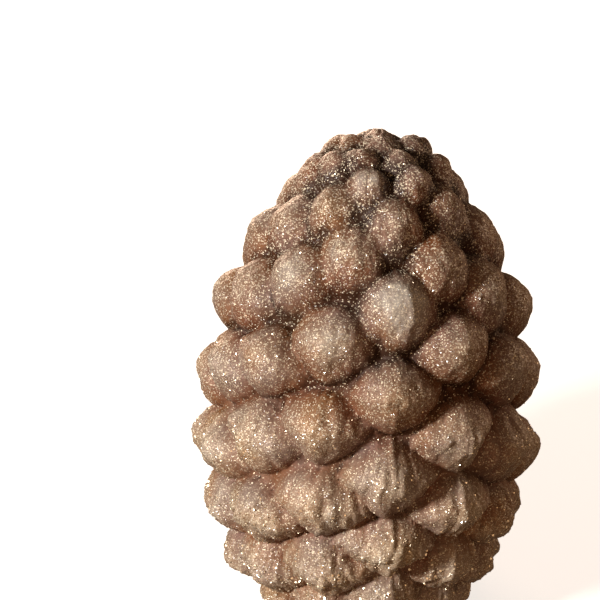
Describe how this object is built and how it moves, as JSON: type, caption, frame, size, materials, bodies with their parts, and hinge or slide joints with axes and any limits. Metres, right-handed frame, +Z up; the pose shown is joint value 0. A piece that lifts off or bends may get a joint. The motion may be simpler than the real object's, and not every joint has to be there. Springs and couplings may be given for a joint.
{
  "type": "ornamental pine cone",
  "caption": "Ornamental pine cone cast in one piece, egg-shaped, with rows of blunt fused scales under copper glitter, standing tip up on a flat foot",
  "frame": {"origin": "middle of the flat foot, on the surface that the cone stands on", "axes": "+Z up along the cone's axis to its tip, -Y towards the viewer of the front, +X to the viewer's right"},
  "size_m": [0.0646, 0.0634, 0.0923],
  "materials": {
    "copper_glitter": "copper and pale gold craft glitter over a coloured ground, worn to the pale cast on some scale tips"
  },
  "bodies": {
    "root": {"pine_cone": "copper_glitter"}
  },
  "joints": []
}
